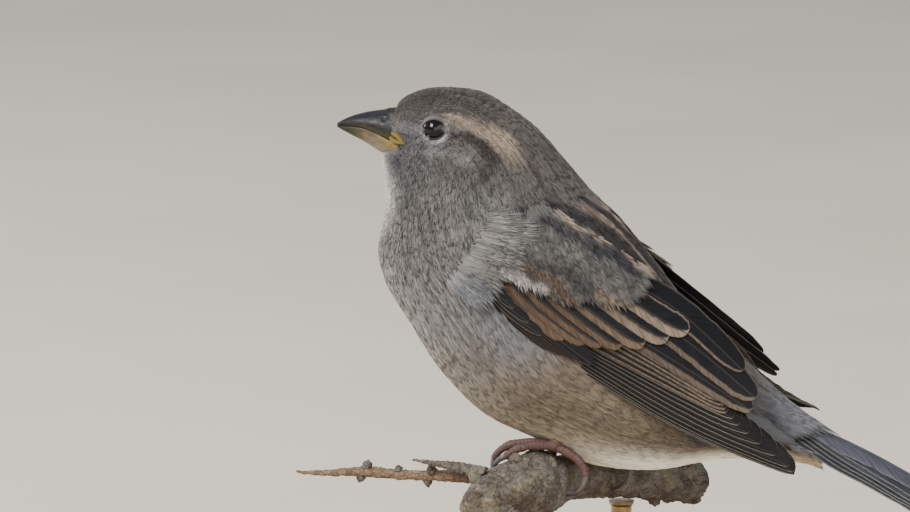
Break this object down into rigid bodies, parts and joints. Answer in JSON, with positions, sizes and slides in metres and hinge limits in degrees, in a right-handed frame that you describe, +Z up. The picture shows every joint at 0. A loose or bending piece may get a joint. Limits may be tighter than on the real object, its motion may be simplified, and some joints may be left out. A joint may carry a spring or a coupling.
{
  "type": "house sparrow on a perch",
  "caption": "Life-size model of a perched house sparrow hen, fluffed up and turned half away, gripping a short cut thorny twig on a round display base with rods.",
  "frame": {"origin": "middle of the underside of the round base, on the surface it stands on", "axes": "+Z up, the bird's trunk faces -X, its left side faces -Y and its tail points to +X"},
  "size_m": [0.136, 0.096, 0.1258],
  "materials": {
    "head_plumage": "soft short feathers",
    "neck_plumage": "soft short feathers",
    "body_plumage": "soft fluffed feathers",
    "wing_plumage": "firm vaned feathers with pale edges",
    "tail_plumage": "firm vaned feathers",
    "bill_horn": "satin horn",
    "eye": "wet gloss",
    "foot_skin": "scaled skin",
    "claw_horn": "satin horn",
    "bark": "rough bark with lichen",
    "turned_wood": "waxed turned wood",
    "rod_metal": "satin brass"
  },
  "bodies": {
    "root": {"head": "head_plumage", "neck": "neck_plumage", "trunk": "body_plumage", "wing_left": "wing_plumage", "wing_right": "wing_plumage", "tail": "tail_plumage", "bill_upper": "bill_horn", "bill_lower": "bill_horn", "eye_left": "eye", "eye_right": "eye", "leg_left": "foot_skin", "leg_right": "foot_skin", "foot_left": "foot_skin", "foot_right": "foot_skin", "claw_left_inner": "claw_horn", "claw_left_middle": "claw_horn", "claw_left_outer": "claw_horn", "claw_left_hind": "claw_horn", "claw_right_inner": "claw_horn", "claw_right_middle": "claw_horn", "claw_right_outer": "claw_horn", "claw_right_hind": "claw_horn", "perch_branch": "bark", "perch_twig": "bark", "perch_thorn": "bark", "stand_base": "turned_wood", "stand_rod_front": "rod_metal", "stand_rod_back": "rod_metal"}
  },
  "joints": []
}
